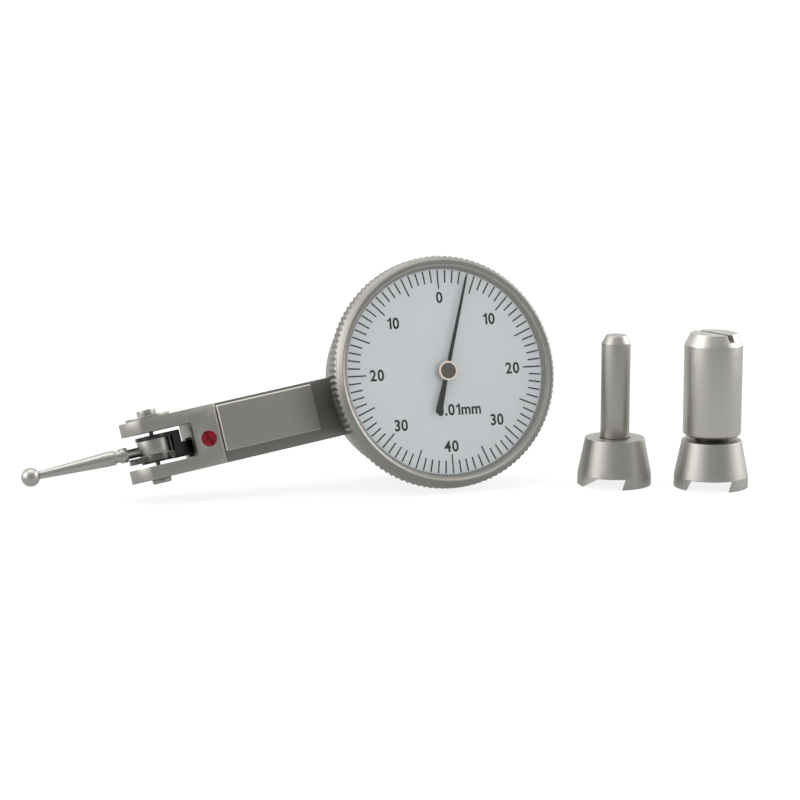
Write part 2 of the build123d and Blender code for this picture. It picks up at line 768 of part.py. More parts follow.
with BuildPart() as pivot_axle:
    with BuildSketch(pivot_plane.offset(lower_disc_bottom)):
        Circle(axle_radius)
    extrude(amount=bridge_top - lower_disc_bottom)
    for axle_end, inward in ((lower_disc_bottom, 1), (bridge_top, -1)):
        with BuildSketch(pivot_plane.offset(axle_end)):
            Circle(pivot_nib_radius + fit_gap)
        extrude(amount=inward * pivot_nib_length, mode=Mode.SUBTRACT)
finish(pivot_axle, "pivot_axle")

with BuildPart() as friction_disc:
    with BuildSketch(pivot_plane.offset(lower_disc_bottom)):
        Circle(lower_disc_radius)
        Circle(axle_radius + fit_gap, mode=Mode.SUBTRACT)
    extrude(amount=lower_disc_height)
finish(friction_disc, "friction_disc")

# The toothed sector is screwed under the end of the tail.
with BuildPart() as sector_gear:
    half_sector = pi * sector_shown / sector_teeth
    sector_points = stub_teeth(
        [tooth - (sector_shown - 1) / 2 for tooth in range(sector_shown)],
        sector_teeth,
        sector_radius + tooth_addendum_share * module_size,
        sector_root,
    )
    sector_points.append((tail_end, sector_root * sin(half_sector)))
    sector_points.append((tail_end - 2 * sector_rim_width, lever_tail_thick / 2))
    sector_points.append((tail_end - 2 * sector_rim_width, -lever_tail_thick / 2))
    sector_points.append((tail_end, -sector_root * sin(half_sector)))
    with BuildSketch(pivot_plane.offset(sector_bottom)):
        Polygon(*sector_points, align=None)
        with Locations((tail_end - sector_rim_width, 0)):
            with GridLocations(sector_screw_spacing, 0, 2, 1):
                Circle(sector_screw_radius + fit_gap, mode=Mode.SUBTRACT)
    extrude(amount=sector_thick)
finish(sector_gear, "sector_gear")

with BuildPart() as sector_screws:
    with BuildSketch(pivot_plane.offset(sector_bottom)):
        with Locations((tail_end - sector_rim_width, 0)):
            with GridLocations(sector_screw_spacing, 0, 2, 1):
                Circle(sector_screw_radius)
    extrude(amount=sector_thick + sector_screw_grip)
    with BuildSketch(pivot_plane.offset(sector_bottom)):
        with Locations((tail_end - sector_rim_width, 0)):
            with GridLocations(sector_screw_spacing, 0, 2, 1):
                Circle(2 * sector_screw_radius)
    extrude(amount=-sector_screw_radius)
finish(sector_screws, "sector_screws")

# Swivel drum and stylus
with BuildPart() as swivel_drum:
    with BuildSketch(pivot_plane.offset(drum_bottom)):
        Circle(drum_radius)
        Circle(axle_radius + fit_gap, mode=Mode.SUBTRACT)
    extrude(amount=drum_height)
    with BuildSketch(stylus_plane.offset(axle_radius + fit_gap)):
        Circle(stylus_neck_radius + fit_gap)
    extrude(amount=drum_radius, mode=Mode.SUBTRACT)
finish(swivel_drum, "swivel_drum")

stylus_head_start = stylus_collar_start + stylus_collar_length + stylus_groove_length
stylus_taper_start = stylus_head_start + stylus_head_length
ball_seat = sqrt(stylus_ball_radius**2 - stylus_tip_radius**2)
ball_place = (-arm_reach - stylus_reach, arm_offset, -pivot_depth)
with BuildPart() as stylus_shank:
    with BuildSketch(Plane(origin=stylus_plane.origin, x_dir=(0, 1, 0), z_dir=(0, 0, 1))):
        with BuildLine():
            Polyline(
                (0, axle_radius + running_gap),
                (stylus_neck_radius, axle_radius + running_gap),
                (stylus_neck_radius, stylus_collar_start),
                (stylus_collar_radius, stylus_collar_start),
                (stylus_collar_radius, stylus_collar_start + stylus_collar_length),
                (stylus_groove_radius, stylus_collar_start + stylus_collar_length),
                (stylus_groove_radius, stylus_head_start),
                (stylus_collar_radius, stylus_head_start),
                (stylus_collar_radius, stylus_taper_start),
                (stylus_tip_radius, stylus_reach - ball_seat),
                (0, stylus_reach - ball_seat),
                close=True,
            )
        make_face()
    revolve(axis=Axis(stylus_plane.origin, (-1, 0, 0)))
    with Locations(ball_place):
        Sphere(stylus_ball_radius, mode=Mode.SUBTRACT)
finish(stylus_shank, "stylus_shank")

with BuildPart() as stylus_ball:
    with Locations(ball_place):
        Sphere(stylus_ball_radius)
finish(stylus_ball, "stylus_ball")

# Pivot screws and the washer under the upper head
# A fine nib on each screw stands in the end of the axle.
upper_seat = arm_top + washer_height
with BuildPart() as upper_pivot_screw:
    with BuildSketch(pivot_plane.offset(bridge_top - pivot_nib_length + running_gap)):
        Circle(pivot_nib_radius)
    extrude(amount=slot_top - bridge_top + pivot_nib_length - running_gap)
    with BuildSketch(pivot_plane.offset(slot_top)):
        Circle(pivot_screw_radius)
    extrude(amount=upper_seat - slot_top)
    with BuildSketch(pivot_plane.offset(upper_seat)):
        Circle(pivot_head_radius)
    extrude(amount=upper_head_height)
    with BuildSketch(pivot_plane.offset(upper_seat + upper_head_height)):
        Rectangle(2 * pivot_head_radius, head_slot_width, rotation=upper_slot_angle)
    extrude(amount=-head_slot_depth, mode=Mode.SUBTRACT)
finish(upper_pivot_screw, "upper_pivot_screw")

with BuildPart() as lower_pivot_screw:
    with BuildSketch(pivot_plane.offset(slot_bottom)):
        Circle(pivot_nib_radius)
    extrude(amount=lower_disc_bottom - slot_bottom + pivot_nib_length - running_gap)
    with BuildSketch(pivot_plane.offset(arm_bottom)):
        Circle(pivot_screw_radius)
    extrude(amount=slot_bottom - arm_bottom)
    with BuildSketch(pivot_plane.offset(arm_bottom)):
        Circle(pivot_head_radius)
    extrude(amount=-lower_head_height)
    chamfer(lower_pivot_screw.faces().sort_by(Axis.Y)[0].edges(), lower_head_height / 4)
    with BuildSketch(pivot_plane.offset(arm_bottom - lower_head_height)):
        Rectangle(2 * pivot_head_radius, head_slot_width)
    extrude(amount=head_slot_depth, mode=Mode.SUBTRACT)
finish(lower_pivot_screw, "lower_pivot_screw")

with BuildPart() as pivot_washer:
    with BuildSketch(pivot_plane.offset(arm_top)):
        Circle(washer_radius)
        Circle(pivot_screw_radius + fit_gap, mode=Mode.SUBTRACT)
    extrude(amount=washer_height)
finish(pivot_washer, "pivot_washer")

with BuildPart() as sealed_screw:
    with BuildSketch(Plane.XY.offset(-fork_front_depth)):
        with Locations((sealed_reach - arm_reach, arm_offset + sealed_offset)):
            Circle(sealed_radius)
    extrude(amount=-sealed_length)
    with BuildSketch(Plane.XY.offset(-fork_front_depth)):
        with Locations((sealed_reach - arm_reach, arm_offset + sealed_offset)):
            Rectangle(head_slot_width, 2 * sealed_radius, rotation=sealed_slot_angle)
    extrude(amount=-head_slot_depth, mode=Mode.SUBTRACT)
finish(sealed_screw, "sealed_screw")

# Feet of the stems
# Each is a cone on a short band, with a dovetail groove across its underside and a bore
# for the clamping screw of its stem.
groove_top = dovetail_width + groove_play
groove_mouth = groove_top - 2 * groove_depth * tan(radians(dovetail_angle))
small_place = Location((*small_stem_place, 0), (0, 0, small_stem_angle))
large_place = Location((*large_stem_place, 0), (0, 0, large_stem_angle))


def dovetail_foot(sink_radius, sink_depth):
    """A foot with its groove along y and a sink in its top for the end of the stem."""
    with BuildPart() as foot:
        with BuildSketch(Plane.XZ):
            with BuildLine():
                Polyline(
                    (0, 0),
                    (foot_radius, 0),
                    (foot_radius, foot_band),
                    (foot_top_radius, foot_height),
                    (0, foot_height),
                    close=True,
                )
            make_face()
        revolve(axis=Axis.Z)
        with BuildSketch(Plane.XZ.offset(-foot_radius - overrun_length)):
            Polygon(
                (-groove_mouth / 2, 0),
                (-groove_top / 2, groove_depth),
                (groove_top / 2, groove_depth),
                (groove_mouth / 2, 0),
                align=None,
            )
        extrude(amount=2 * (foot_radius + overrun_length), mode=Mode.SUBTRACT)
        with BuildSketch(Plane.XY):
            Circle(stud_screw_radius + running_gap)
        extrude(amount=foot_height, mode=Mode.SUBTRACT)
        with BuildSketch(Plane.XY.offset(foot_height)):
            Circle(sink_radius)
        extrude(amount=-sink_depth, mode=Mode.SUBTRACT)
    return foot


small_foot = dovetail_foot(pin_radius + 2 * running_gap, pin_sink + sink_room)
finish(small_foot, "small_foot", small_place)
large_foot = dovetail_foot(neck_radius + 2 * running_gap, neck_sink + sink_room)
finish(large_foot, "large_foot", large_place)

# Small stem and its clamping screw
stud_bottom = groove_depth + stud_screw_lift
pin_bottom = foot_height - pin_sink
with BuildPart() as small_stud:
    with BuildSketch(Plane.XY.offset(stud_bottom)):
        Circle(stud_screw_radius)
    extrude(amount=pin_bottom + stud_spigot_length - stud_bottom)
finish(small_stud, "small_stud", small_place)

with BuildPart() as small_stem:
    with BuildSketch(Plane.XZ):
        with BuildLine():
            Polyline(
                (0, pin_bottom + stud_spigot_length + running_gap),
                (stud_screw_radius + fit_gap, pin_bottom + stud_spigot_length + running_gap),
                (stud_screw_radius + fit_gap, pin_bottom),
                (pin_radius - pin_neck_depth, pin_bottom),
                (pin_radius - pin_neck_depth, foot_height),
                (pin_radius, foot_height),
                (pin_radius, foot_height + pin_length - pin_chamfer_length),
                (pin_radius - pin_chamfer, foot_height + pin_length),
                (0, foot_height + pin_length),
                close=True,
            )
        make_face()
    revolve(axis=Axis.Z)
finish(small_stem, "small_stem", small_place)

# Large stem and its clamping screw
neck_bottom = foot_height - neck_sink
barrel_bottom = foot_height + barrel_gap_height
barrel_top = barrel_bottom + barrel_length
with BuildPart() as large_stud:
    with BuildSketch(Plane.XY.offset(stud_bottom)):
        Circle(stud_screw_radius)
    extrude(amount=barrel_bottom + stud_spigot_length - stud_bottom)
    with BuildSketch(Plane.XY.offset(neck_bottom)):
        Circle(neck_radius)
    extrude(amount=barrel_bottom - neck_bottom)
finish(large_stud, "large_stud", large_place)

with BuildPart() as large_stem:
    with BuildSketch(Plane.XZ):
        with BuildLine():
            Polyline(
                (0, barrel_bottom + stud_spigot_length + running_gap),
                (stud_screw_radius + fit_gap, barrel_bottom + stud_spigot_length + running_gap),
                (stud_screw_radius + fit_gap, barrel_bottom),
                (barrel_radius - barrel_foot_chamfer, barrel_bottom),
                (barrel_radius, barrel_bottom + barrel_foot_chamfer),
                (barrel_radius, barrel_top - barrel_chamfer_length),
                (barrel_radius - barrel_chamfer, barrel_top),
                (0, barrel_top),
                close=True,
            )
        make_face()
    revolve(axis=Axis.Z)
    with BuildSketch(Plane.XY.offset(barrel_top)):
        Rectangle(2 * (barrel_radius + overrun_length), barrel_slot_width, rotation=barrel_slot_angle)
    extrude(amount=-barrel_slot_depth, mode=Mode.SUBTRACT)
finish(large_stem, "large_stem", large_place)

# The whole set is moved so that the origin lies on the floor below its middle.
set_box = Compound(finished).bounding_box()
set_middle = set_box.center()
to_origin = Location((-set_middle.X, -set_middle.Y, -set_box.min.Z))
os.makedirs("parts", exist_ok=True)
for solid in finished:
    name = solid.label
    placed = to_origin * solid
    placed.label = name
    export_step(placed, f"parts/{name}.step")
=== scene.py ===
import json
import math

import bpy
from mathutils import Matrix, Vector

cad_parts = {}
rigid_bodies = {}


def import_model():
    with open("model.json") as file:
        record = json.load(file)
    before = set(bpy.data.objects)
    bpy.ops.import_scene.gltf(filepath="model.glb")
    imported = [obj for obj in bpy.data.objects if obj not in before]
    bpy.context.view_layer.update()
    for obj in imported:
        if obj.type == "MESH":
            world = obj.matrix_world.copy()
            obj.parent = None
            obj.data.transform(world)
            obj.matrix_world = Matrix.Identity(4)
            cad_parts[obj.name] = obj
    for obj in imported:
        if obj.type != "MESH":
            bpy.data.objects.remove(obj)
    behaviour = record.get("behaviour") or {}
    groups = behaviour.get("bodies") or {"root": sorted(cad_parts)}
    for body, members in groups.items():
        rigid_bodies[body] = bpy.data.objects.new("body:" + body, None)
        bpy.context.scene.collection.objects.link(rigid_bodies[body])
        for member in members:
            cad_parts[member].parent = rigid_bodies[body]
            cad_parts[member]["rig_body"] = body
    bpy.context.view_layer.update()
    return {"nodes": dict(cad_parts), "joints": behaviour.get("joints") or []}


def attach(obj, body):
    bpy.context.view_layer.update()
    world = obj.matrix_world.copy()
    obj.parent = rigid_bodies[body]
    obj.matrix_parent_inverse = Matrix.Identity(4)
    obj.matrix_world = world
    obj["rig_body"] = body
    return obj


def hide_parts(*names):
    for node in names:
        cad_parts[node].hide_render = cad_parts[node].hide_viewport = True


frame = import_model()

bl_info = {
    "name": "Dial test indicator",
    "version": (1, 0, 0),
    "blender": (4, 5, 0),
    "location": "View3D > Sidebar > Indicator",
    "description": "Finishes, dial markings, light and camera for a dial test indicator and its stems",
    "category": "Object",
}

MM = 0.001
JOINTS = {joint["name"]: joint for joint in frame["joints"]}


def frame_of(up, normal, centre):
    """A frame with its y along up, its z along the normal and its origin at the centre."""
    turned = Matrix((
        (*up.cross(normal), 0),
        (*up, 0),
        (*normal, 0),
        (0, 0, 0, 1),
    )).transposed()
    turned.translation = centre
    return turned


# The dial's own frame: its centre on the face of the dial, y up the dial along the zero mark,
# which stands upright, and z out of the dial.
DIAL_NORMAL = Vector(JOINTS["pointer_turn"]["axis"])
DIAL_CENTRE = Vector(JOINTS["pointer_turn"]["pos_m"])
DIAL_UP = (Vector((0, 0, 1)) - DIAL_NORMAL * DIAL_NORMAL.z).normalized()
DIAL_FRAME = frame_of(DIAL_UP, DIAL_NORMAL, DIAL_CENTRE)

# The arm's frame: x along the arm towards the dial, y along the stylus pivot, z out of the dial.
ARM_UP = Vector(JOINTS["lever_turn"]["axis"])
ARM_FRAME = frame_of(ARM_UP, DIAL_NORMAL, DIAL_CENTRE)

# The middle of the bezel's front, half the bezel's depth before the place of its joint.
BEZEL_DEPTH = 3.8 * MM
FRONT_CENTRE = Vector(JOINTS["bezel_turn"]["pos_m"]) + DIAL_NORMAL * BEZEL_DEPTH / 2


class DialSizes(bpy.types.PropertyGroup):
    """Sizes of the printing on the dial."""

    divisions: bpy.props.IntProperty(
        name="Divisions", description="Marks round the dial", default=80, min=8)
    long_every: bpy.props.IntProperty(
        name="Long mark every", description="Divisions from one long mark to the next", default=5)
    number_every: bpy.props.IntProperty(
        name="Number every", description="Divisions from one number to the next", default=10)
    mark_radius: bpy.props.FloatProperty(
        name="Mark radius", description="Outer end of the marks", default=14.0 * MM, subtype="DISTANCE")
    short_mark: bpy.props.FloatProperty(
        name="Short mark", description="Length of a short mark", default=1.75 * MM, subtype="DISTANCE")
    long_mark: bpy.props.FloatProperty(
        name="Long mark", description="Length of a long mark", default=2.6 * MM, subtype="DISTANCE")
    mark_width: bpy.props.FloatProperty(
        name="Mark width", description="Width of every mark", default=0.20 * MM, subtype="DISTANCE")
    ink_height: bpy.props.FloatProperty(
        name="Ink height", description="How far the ink stands on the dial", default=0.012 * MM,
        subtype="DISTANCE")
    bush_radius: bpy.props.FloatProperty(
        name="Bush radius", description="Outer radius of the thin bush in the dial's middle",
        default=1.6 * MM, subtype="DISTANCE")
    bush_bore: bpy.props.FloatProperty(
        name="Bush bore", description="Radius of the bush's hole", default=0.62 * MM,
        subtype="DISTANCE")
    number_radius: bpy.props.FloatProperty(
        name="Number radius", description="Middle of the top and the bottom number",
        default=10.24 * MM, subtype="DISTANCE")
    side_number_radius: bpy.props.FloatProperty(
        name="Side number radius", description="Middle of the other numbers",
        default=9.86 * MM, subtype="DISTANCE")
    number_size: bpy.props.FloatProperty(
        name="Number size", description="Type size of the numbers", default=2.12 * MM,
        subtype="DISTANCE")
    letter_width: bpy.props.FloatProperty(
        name="Letter width", description="Width of a letter against its height", default=0.90)
    letter_gap: bpy.props.FloatProperty(
        name="Letter gap", description="Gap between two letters", default=0.16 * MM, subtype="DISTANCE")
    stroke: bpy.props.FloatProperty(
        name="Stroke", description="Width added to a letter's strokes", default=0.055 * MM,
        subtype="DISTANCE")
    unit_x: bpy.props.FloatProperty(
        name="Unit to the right", description="Middle of the unit's text", default=1.55 * MM,
        subtype="DISTANCE")
    unit_y: bpy.props.FloatProperty(
        name="Unit below", description="Middle of the unit's text", default=-5.25 * MM,
        subtype="DISTANCE")


class FinishColours(bpy.types.PropertyGroup):
    """Base colours of the finishes."""

    satin: bpy.props.FloatVectorProperty(
        name="Satin chrome", description="Case, arm, bezel and ring",
        default=(0.385, 0.372, 0.343), subtype="COLOR")
    stem: bpy.props.FloatVectorProperty(
        name="Ground steel", description="Feet and stems", default=(0.41, 0.397, 0.368),
        subtype="COLOR")
    stylus: bpy.props.FloatVectorProperty(
        name="Polished steel", description="Stylus, drum, screws and shafts",
        default=(0.42, 0.408, 0.383), subtype="COLOR")
    black: bpy.props.FloatVectorProperty(
        name="Blackened steel", description="Lever, disc and studs", default=(0.06, 0.056, 0.052),
        subtype="COLOR")
    dial: bpy.props.FloatVectorProperty(
        name="Dial paint", description="Face of the dial", default=(0.805, 0.855, 0.874),
        subtype="COLOR")
    ink: bpy.props.FloatVectorProperty(
        name="Ink", description="Marks, numbers and pointer", default=(0.006, 0.006, 0.007),
        subtype="COLOR")
    gilt: bpy.props.FloatVectorProperty(
        name="Gilt", description="Ring of the pointer's hub", default=(0.72, 0.62, 0.54),
        subtype="COLOR")
    brass: bpy.props.FloatVectorProperty(
        name="Brass", description="Plates and wheels of the movement", default=(0.60, 0.43, 0.20),
        subtype="COLOR")
    lacquer: bpy.props.FloatVectorProperty(
        name="Red lacquer", description="Seal on the arm's screw", default=(0.21, 0.003, 0.009),
        subtype="COLOR")
    # Painted light: a light colour on the walls of the relief groove stands in for the light they catch
    # inside the shaded groove.
    cut: bpy.props.FloatVectorProperty(
        name="Painted groove light", description="Walls of the relief groove across the arm",
        default=(0.66, 0.64, 0.60), subtype="COLOR")
    cap: bpy.props.FloatVectorProperty(
        name="Dark cap", description="Cap in the middle of the pointer's hub",
        default=(0.085, 0.078, 0.060), subtype="COLOR")
    ruby: bpy.props.FloatVectorProperty(
        name="Ruby", description="Jewel bearings", default=(0.45, 0.01, 0.06), subtype="COLOR")


class StageSizes(bpy.types.PropertyGroup):
    """Camera and light."""

    camera_offset: bpy.props.FloatVectorProperty(
        name="Camera", description="Where the camera stands, from the middle of the bezel's front",
        subtype="TRANSLATION", default=(-115.38 * MM, -312.70 * MM, 54.996 * MM))
    camera_look: bpy.props.FloatVectorProperty(
        name="Look", description="Direction in which the camera looks", subtype="DIRECTION",
        default=(0.3224, 0.9304, -0.1746))
    lens: bpy.props.FloatProperty(
        name="Lens", description="Focal length in millimetres on a 36 mm sensor", default=111.4)
    key_power: bpy.props.FloatProperty(
        name="Left lamp", description="Power of the lamp on the left", default=1.4, unit="POWER")
    fill_power: bpy.props.FloatProperty(
        name="Right lamp", description="Power of the lamp on the right", default=1.2, unit="POWER")
    top_power: bpy.props.FloatProperty(
        name="Top lamp", description="Power of the lamp overhead", default=2.2, unit="POWER")


# The grain of the finishes: the noise's roughness, where on the noise its two colours lie, by
# what share it moves a metal's roughness, and how deep it goes.
GRAIN_ROUGHNESS = 0.6
TINT_PLACES = (0.3, 0.7)
GLOSS_SPREAD = 0.12
GRAIN_DEPTH = 0.01 * MM

# How the grain is drawn out: the smaller a number, the longer the grain along x, y or z.
EVEN_GRAIN = (1, 1, 1)
ARM_GRAIN = (1, 0.12, 0.12)
STEM_GRAIN = (0.10, 0.10, 1)
ARM_GRAIN_TURN = tuple(-angle for angle in ARM_FRAME.to_euler())


def new_material(name):
    """A node material with its shader, ready for its links."""
    material = bpy.data.materials.new(name)
    material.use_nodes = True
    shader = material.node_tree.nodes["Principled BSDF"]
    return material, material.node_tree, shader


def add_node(tree, kind, **values):
    """One node with its settings and input values."""
    node = tree.nodes.new(kind)
    for key, value in values.items():
        if key in node.inputs:
            node.inputs[key].default_value = value
        else:
            setattr(node, key, value)
    return node


def set_values(node, values):
    """Values for a node's inputs by their names."""
    for name, value in values.items():
        node.inputs[name].default_value = value


def shade(colour, factor):
    """A colour made lighter or darker."""
    return tuple(min(1.0, channel * factor) for channel in colour)


def grain(tree, scale, stretch=EVEN_GRAIN, turn=(0, 0, 0), detail=6.0):
    """Noise on the piece's own place, drawn out by its stretch and then turned."""
    place = add_node(tree, "ShaderNodeTexCoord")
    mapping = add_node(tree, "ShaderNodeMapping", Rotation=turn, Scale=stretch)
    noise = add_node(tree, "ShaderNodeTexNoise", Scale=scale, Detail=detail, Roughness=GRAIN_ROUGHNESS)
    tree.links.new(place.outputs["Object"], mapping.inputs["Vector"])
    tree.links.new(mapping.outputs["Vector"], noise.inputs["Vector"])
    return noise


def tint(tree, shader, noise, low, high):
    """Base colour that goes from low to high with a noise."""
    ramp = add_node(tree, "ShaderNodeValToRGB")
    for stop, place, colour in zip(ramp.color_ramp.elements, TINT_PLACES, (low, high)):
        stop.position = place
        stop.color = (*colour, 1)
    tree.links.new(noise.outputs["Fac"], ramp.inputs["Fac"])
    tree.links.new(ramp.outputs["Color"], shader.inputs["Base Color"])


def vary_roughness(tree, shader, noise, low, high):
    """Roughness that goes from low to high with a noise."""
    gloss = add_node(tree, "ShaderNodeMapRange")
    set_values(gloss, {"To Min": low, "To Max": high})
    tree.links.new(noise.outputs["Fac"], gloss.inputs["Value"])
    tree.links.new(gloss.outputs["Result"], shader.inputs["Roughness"])


def roughen(tree, shader, noise, strength, depth=GRAIN_DEPTH):
    """A surface that a noise raises and lowers."""
    height = add_node(tree, "ShaderNodeBump", Strength=strength, Distance=depth)
    tree.links.new(noise.outputs["Fac"], height.inputs["Height"])
    tree.links.new(height.outputs["Normal"], shader.inputs["Normal"])


def metal(name, colour, roughness, scale, bump, stretch=EVEN_GRAIN, turn=(0, 0, 0), spread=0.06):
    """Metal with a fine grain in its colour, its gloss and its surface."""
    material, tree, shader = new_material(name)
    set_values(shader, {"Metallic": 1.0})
    fine = grain(tree, scale, stretch, turn)
    tint(tree, shader, fine, shade(colour, 1 - spread), shade(colour, 1 + spread))
    vary_roughness(
        tree, shader, fine, roughness * (1 - GLOSS_SPREAD), roughness * (1 + GLOSS_SPREAD))
    roughen(tree, shader, fine, bump)
    return material


def paint(name, colour, roughness, coat=0.0, spread=0.03, gloss=0.5):
    """Paint, ink or a jewel, with a faint mottle and orange peel."""
    material, tree, shader = new_material(name)
    fine = grain(tree, scale=900.0)
    tint(tree, shader, fine, shade(colour, 1 - spread), shade(colour, 1 + spread))
    set_values(shader, {
        "Roughness": roughness,
        "Specular IOR Level": gloss,
        "Coat Weight": coat,
        "Coat Roughness": 0.12,
    })
    roughen(tree, shader, fine, strength=0.05)
    return material


def lacquer(name, colour):
    """Lacquer that was dabbed on, with thin and thick places, light and dark."""
    material, tree, shader = new_material(name)
    dabs = grain(tree, scale=1500.0, detail=3.0)
    tint(tree, shader, dabs, shade(colour, 0.35), shade(colour, 1.5))
    set_values(shader, {
        "Roughness": 0.30,
        "Specular IOR Level": 0.15,
        "Coat Weight": 0.35,
        "Coat Roughness": 0.10,
    })
    roughen(tree, shader, dabs, strength=0.6, depth=0.12 * MM)
    return material


def clear(name):
    """Clear crystal with a trace of unevenness in its polish."""
    material, tree, shader = new_material(name)
    set_values(shader, {
        "Base Color": (1, 1, 1, 1),
        "Transmission Weight": 1.0,
        "IOR": 1.45,
        "Specular IOR Level": 0.15,
    })
    vary_roughness(tree, shader, grain(tree, scale=300.0), low=0.0, high=0.02)
    return material


def make_finishes(colours):
    """Every finish of the object by its name, with painted shade on the shelf and painted light on the
    groove's walls.
    """
    return {
        "satin": metal(
            "satin_chrome", colours.satin, roughness=0.42, scale=4200.0, bump=0.16,
            stretch=ARM_GRAIN, turn=ARM_GRAIN_TURN, spread=0.035),
        # Painted shade: a darker copy of the satin chrome stands in for the shade on the recessed shelf
        # behind the dovetail.
        "shelf": metal(
            "milled_shelf", shade(colours.satin, 0.62), roughness=0.45, scale=4200.0, bump=0.16,
            stretch=ARM_GRAIN, turn=ARM_GRAIN_TURN, spread=0.035),
        "bezel": metal(
            "bezel_chrome", shade(colours.satin, 0.80), roughness=0.42, scale=4200.0, bump=0.12,
            spread=0.03),
        "ring": metal(
            "ring_satin", shade(colours.satin, 1.05), roughness=0.50, scale=2500.0, bump=0.08),
        "plate": metal(
            "lever_plate_grey", shade(colours.satin, 0.42), roughness=0.36, scale=3600.0, bump=0.12),
        "stem": metal(
            "ground_steel", colours.stem, roughness=0.42, scale=5200.0, bump=0.14,
            stretch=STEM_GRAIN, spread=0.03),
        "barrel": metal(
            "barrel_steel", shade(colours.stem, 1.22), roughness=0.34, scale=5200.0, bump=0.14,
            stretch=STEM_GRAIN, spread=0.03),
        "stylus": metal("fine_steel", colours.stylus, roughness=0.36, scale=3000.0, bump=0.08),
        "drum": metal(
            "drum_satin", shade(colours.stylus, 0.9), roughness=0.38, scale=3600.0, bump=0.10),
        # Painted light on the relief groove's walls: a light metal stands in for the light they catch
        # inside the shaded groove.
        "cut": metal("fresh_cut", colours.cut, roughness=0.45, scale=4200.0, bump=0.10),
        "black": metal("blackened_steel", colours.black, roughness=0.30, scale=2500.0, bump=0.15),
        "brass": metal("turned_brass", colours.brass, roughness=0.30, scale=2500.0, bump=0.12),
        "gilt": metal("gilt_ring", colours.gilt, roughness=0.25, scale=2500.0, bump=0.05),
        "cap": metal("dark_cap", colours.cap, roughness=0.38, scale=2500.0, bump=0.10),
        "dial": paint("dial_paint", colours.dial, roughness=0.45, spread=0.015),
        "ink": paint("ink", colours.ink, roughness=0.60, gloss=0.08),
        "pointer": paint("pointer_lacquer", colours.ink, roughness=0.50, gloss=0.10),
        "ruby": paint("ruby", colours.ruby, roughness=0.15, coat=0.5),
        "lacquer": lacquer("red_lacquer", colours.lacquer),
        "clear": clear("crystal"),
    }


NODE_FINISHES = {
    "body_frame": "satin",
    "bezel": "bezel",
    "crystal": "clear",
    "dial_ring": "ring",
    "dial_plate": "dial",
    "bezel_snap_ring": "stylus",
    "movement_plate": "brass",
    "movement_screws": "stylus",
    "arbor_bridge": "brass",
    "arbor_jewels": "ruby",
    "gear_pillars": "brass",
    "shaft_jewels": "ruby",
    "hairspring": "stylus",
    "hairspring_stud": "brass",
    "pointer": "pointer",
    "pointer_hub": "gilt",
    "pointer_cap": "cap",
    "pointer_arbor": "stylus",
    "hairspring_collet": "brass",
    "crown_wheel": "brass",
    "crown_shaft": "stylus",
    "lever": "black",
    "pivot_axle": "stylus",
    "friction_disc": "black",
    "sector_gear": "brass",
    "sector_screws": "stylus",
    "swivel_drum": "drum",
    "stylus_shank": "stylus",
    "stylus_ball": "stylus",
    "upper_pivot_screw": "stylus",
    "lower_pivot_screw": "satin",
    "pivot_washer": "stylus",
    "sealed_screw": "lacquer",
    "small_foot": "stem",
    "small_stud": "black",
    "small_stem": "stem",
    "large_foot": "stem",
    "large_stud": "black",
    "large_stem": "barrel",
}

# Pieces that stand for a node: the piece's name, the width of its broken edges and the
# angle under which its curves are smooth.
FINE_PIECES = {
    "body_frame": ("case_and_arm", 0.06 * MM, 30),
    "bezel": ("knurled_bezel", 0.03 * MM, 20),
    "lever": ("fork_lever", 0.06 * MM, 30),
    "swivel_drum": ("stylus_drum", 0.06 * MM, 30),
    "stylus_shank": ("stylus_stem", 0.04 * MM, 30),
    "stylus_ball": ("ball_tip", 0, 60),
    "upper_pivot_screw": ("upper_screw", 0.05 * MM, 30),
    "lower_pivot_screw": ("lower_screw", 0.04 * MM, 30),
    "pivot_washer": ("top_washer", 0.05 * MM, 30),
    "sealed_screw": ("lacquered_screw", 0.05 * MM, 30),
    "small_foot": ("small_cone_foot", 0.06 * MM, 10),
    "small_stem": ("thin_stem", 0.05 * MM, 24),
    "large_foot": ("large_cone_foot", 0.06 * MM, 10),
    "large_stem": ("thick_stem", 0.06 * MM, 14),
    "dial_ring": ("window_ring", 0, 30),
    "pointer_hub": ("hub_ring", 0.03 * MM, 30),
    "pointer_cap": ("hub_cap", 0.02 * MM, 30),
}


def deselect():
    """Nothing selected and no piece in edit mode."""
    if bpy.context.mode != "OBJECT":
        bpy.ops.object.mode_set(mode="OBJECT")
    bpy.ops.object.select_all(action="DESELECT")


def work_on(piece):
    """The piece alone is selected and active."""
    deselect()
    piece.select_set(True)
    bpy.context.view_layer.objects.active = piece


def apply_modifier(piece, kind, name, **settings):
    """A modifier that is applied at once."""
    work_on(piece)
    modifier = piece.modifiers.new(name, kind)
    for key, value in settings.items():
        setattr(modifier, key, value)
    bpy.ops.object.modifier_apply(modifier=modifier.name)


def place_mesh(piece, matrix):
    """Carry the piece's place into its mesh and leave its object at the origin."""
    piece.data.transform(matrix @ piece.matrix_basis)
    piece.matrix_basis = Matrix.Identity(4)


def give(piece, material, body):
    """Finish and body of a new piece."""
    piece.data.materials.clear()
    piece.data.materials.append(material)
    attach(piece, body)


# How near to each other a node's corners are one corner, and how flat its faces are one face.
MERGE_DISTANCE = 0.002 * MM
FLAT_ANGLE = math.radians(0.3)


